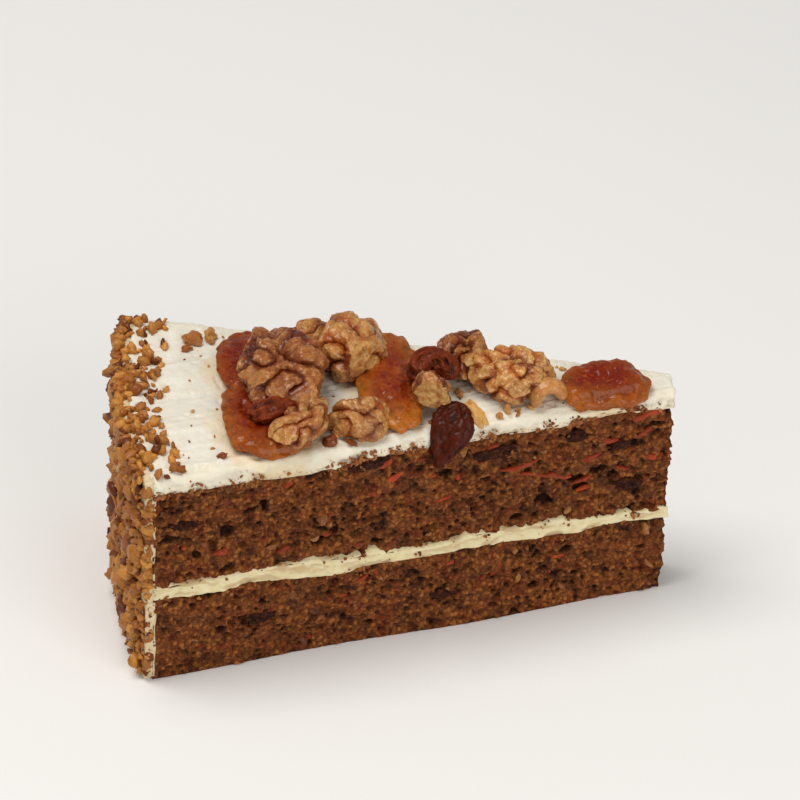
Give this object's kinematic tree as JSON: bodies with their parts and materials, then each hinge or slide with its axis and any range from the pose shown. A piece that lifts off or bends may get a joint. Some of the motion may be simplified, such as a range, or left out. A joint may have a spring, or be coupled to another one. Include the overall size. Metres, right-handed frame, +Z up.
{
  "type": "carrot cake slice",
  "caption": "Wedge of carrot cake: two sponge layers with cream between, frosting on top, chopped nuts round the rim, topped with candied apricots, raisins and walnuts.",
  "frame": {"origin": "centre of the slice's bounding box in plan, at the underside of the bottom sponge", "axes": "+X along the front cut from the nut-coated rim to the thin end, +Y from the front cut towards the back cut, +Z up"},
  "size_m": [0.1278, 0.0664, 0.0671],
  "materials": {
    "sponge": "brown crumb of a moist carrot sponge, matt",
    "cream": "soft ivory cream cheese filling",
    "frosting": "white cream cheese frosting, satin, spread with a spatula",
    "chopped_nuts": "chopped toasted nuts pressed into frosting",
    "candied_apricot": "glazed and slightly see-through, amber to red-orange",
    "raisin": "dark wrinkled skin with a sticky shine",
    "walnut_kernel": "brown folded skin over pale flesh, lightly glazed"
  },
  "bodies": {
    "root": {"bottom_sponge": "sponge", "cream_filling": "cream", "top_sponge": "sponge", "frosting": "frosting", "nut_coat": "chopped_nuts", "apricot_left_back": "candied_apricot", "apricot_left_front": "candied_apricot", "apricot_centre": "candied_apricot", "apricot_right": "candied_apricot", "walnut_left": "walnut_kernel", "raisin_left": "raisin", "walnut_front_left": "walnut_kernel", "walnut_golden": "walnut_kernel", "walnut_back": "walnut_kernel", "walnut_front": "walnut_kernel", "raisin_curled": "raisin", "walnut_chip": "walnut_kernel", "walnut_dark": "walnut_kernel", "walnut_right": "walnut_kernel", "raisin_hanging": "raisin"}
  },
  "joints": []
}
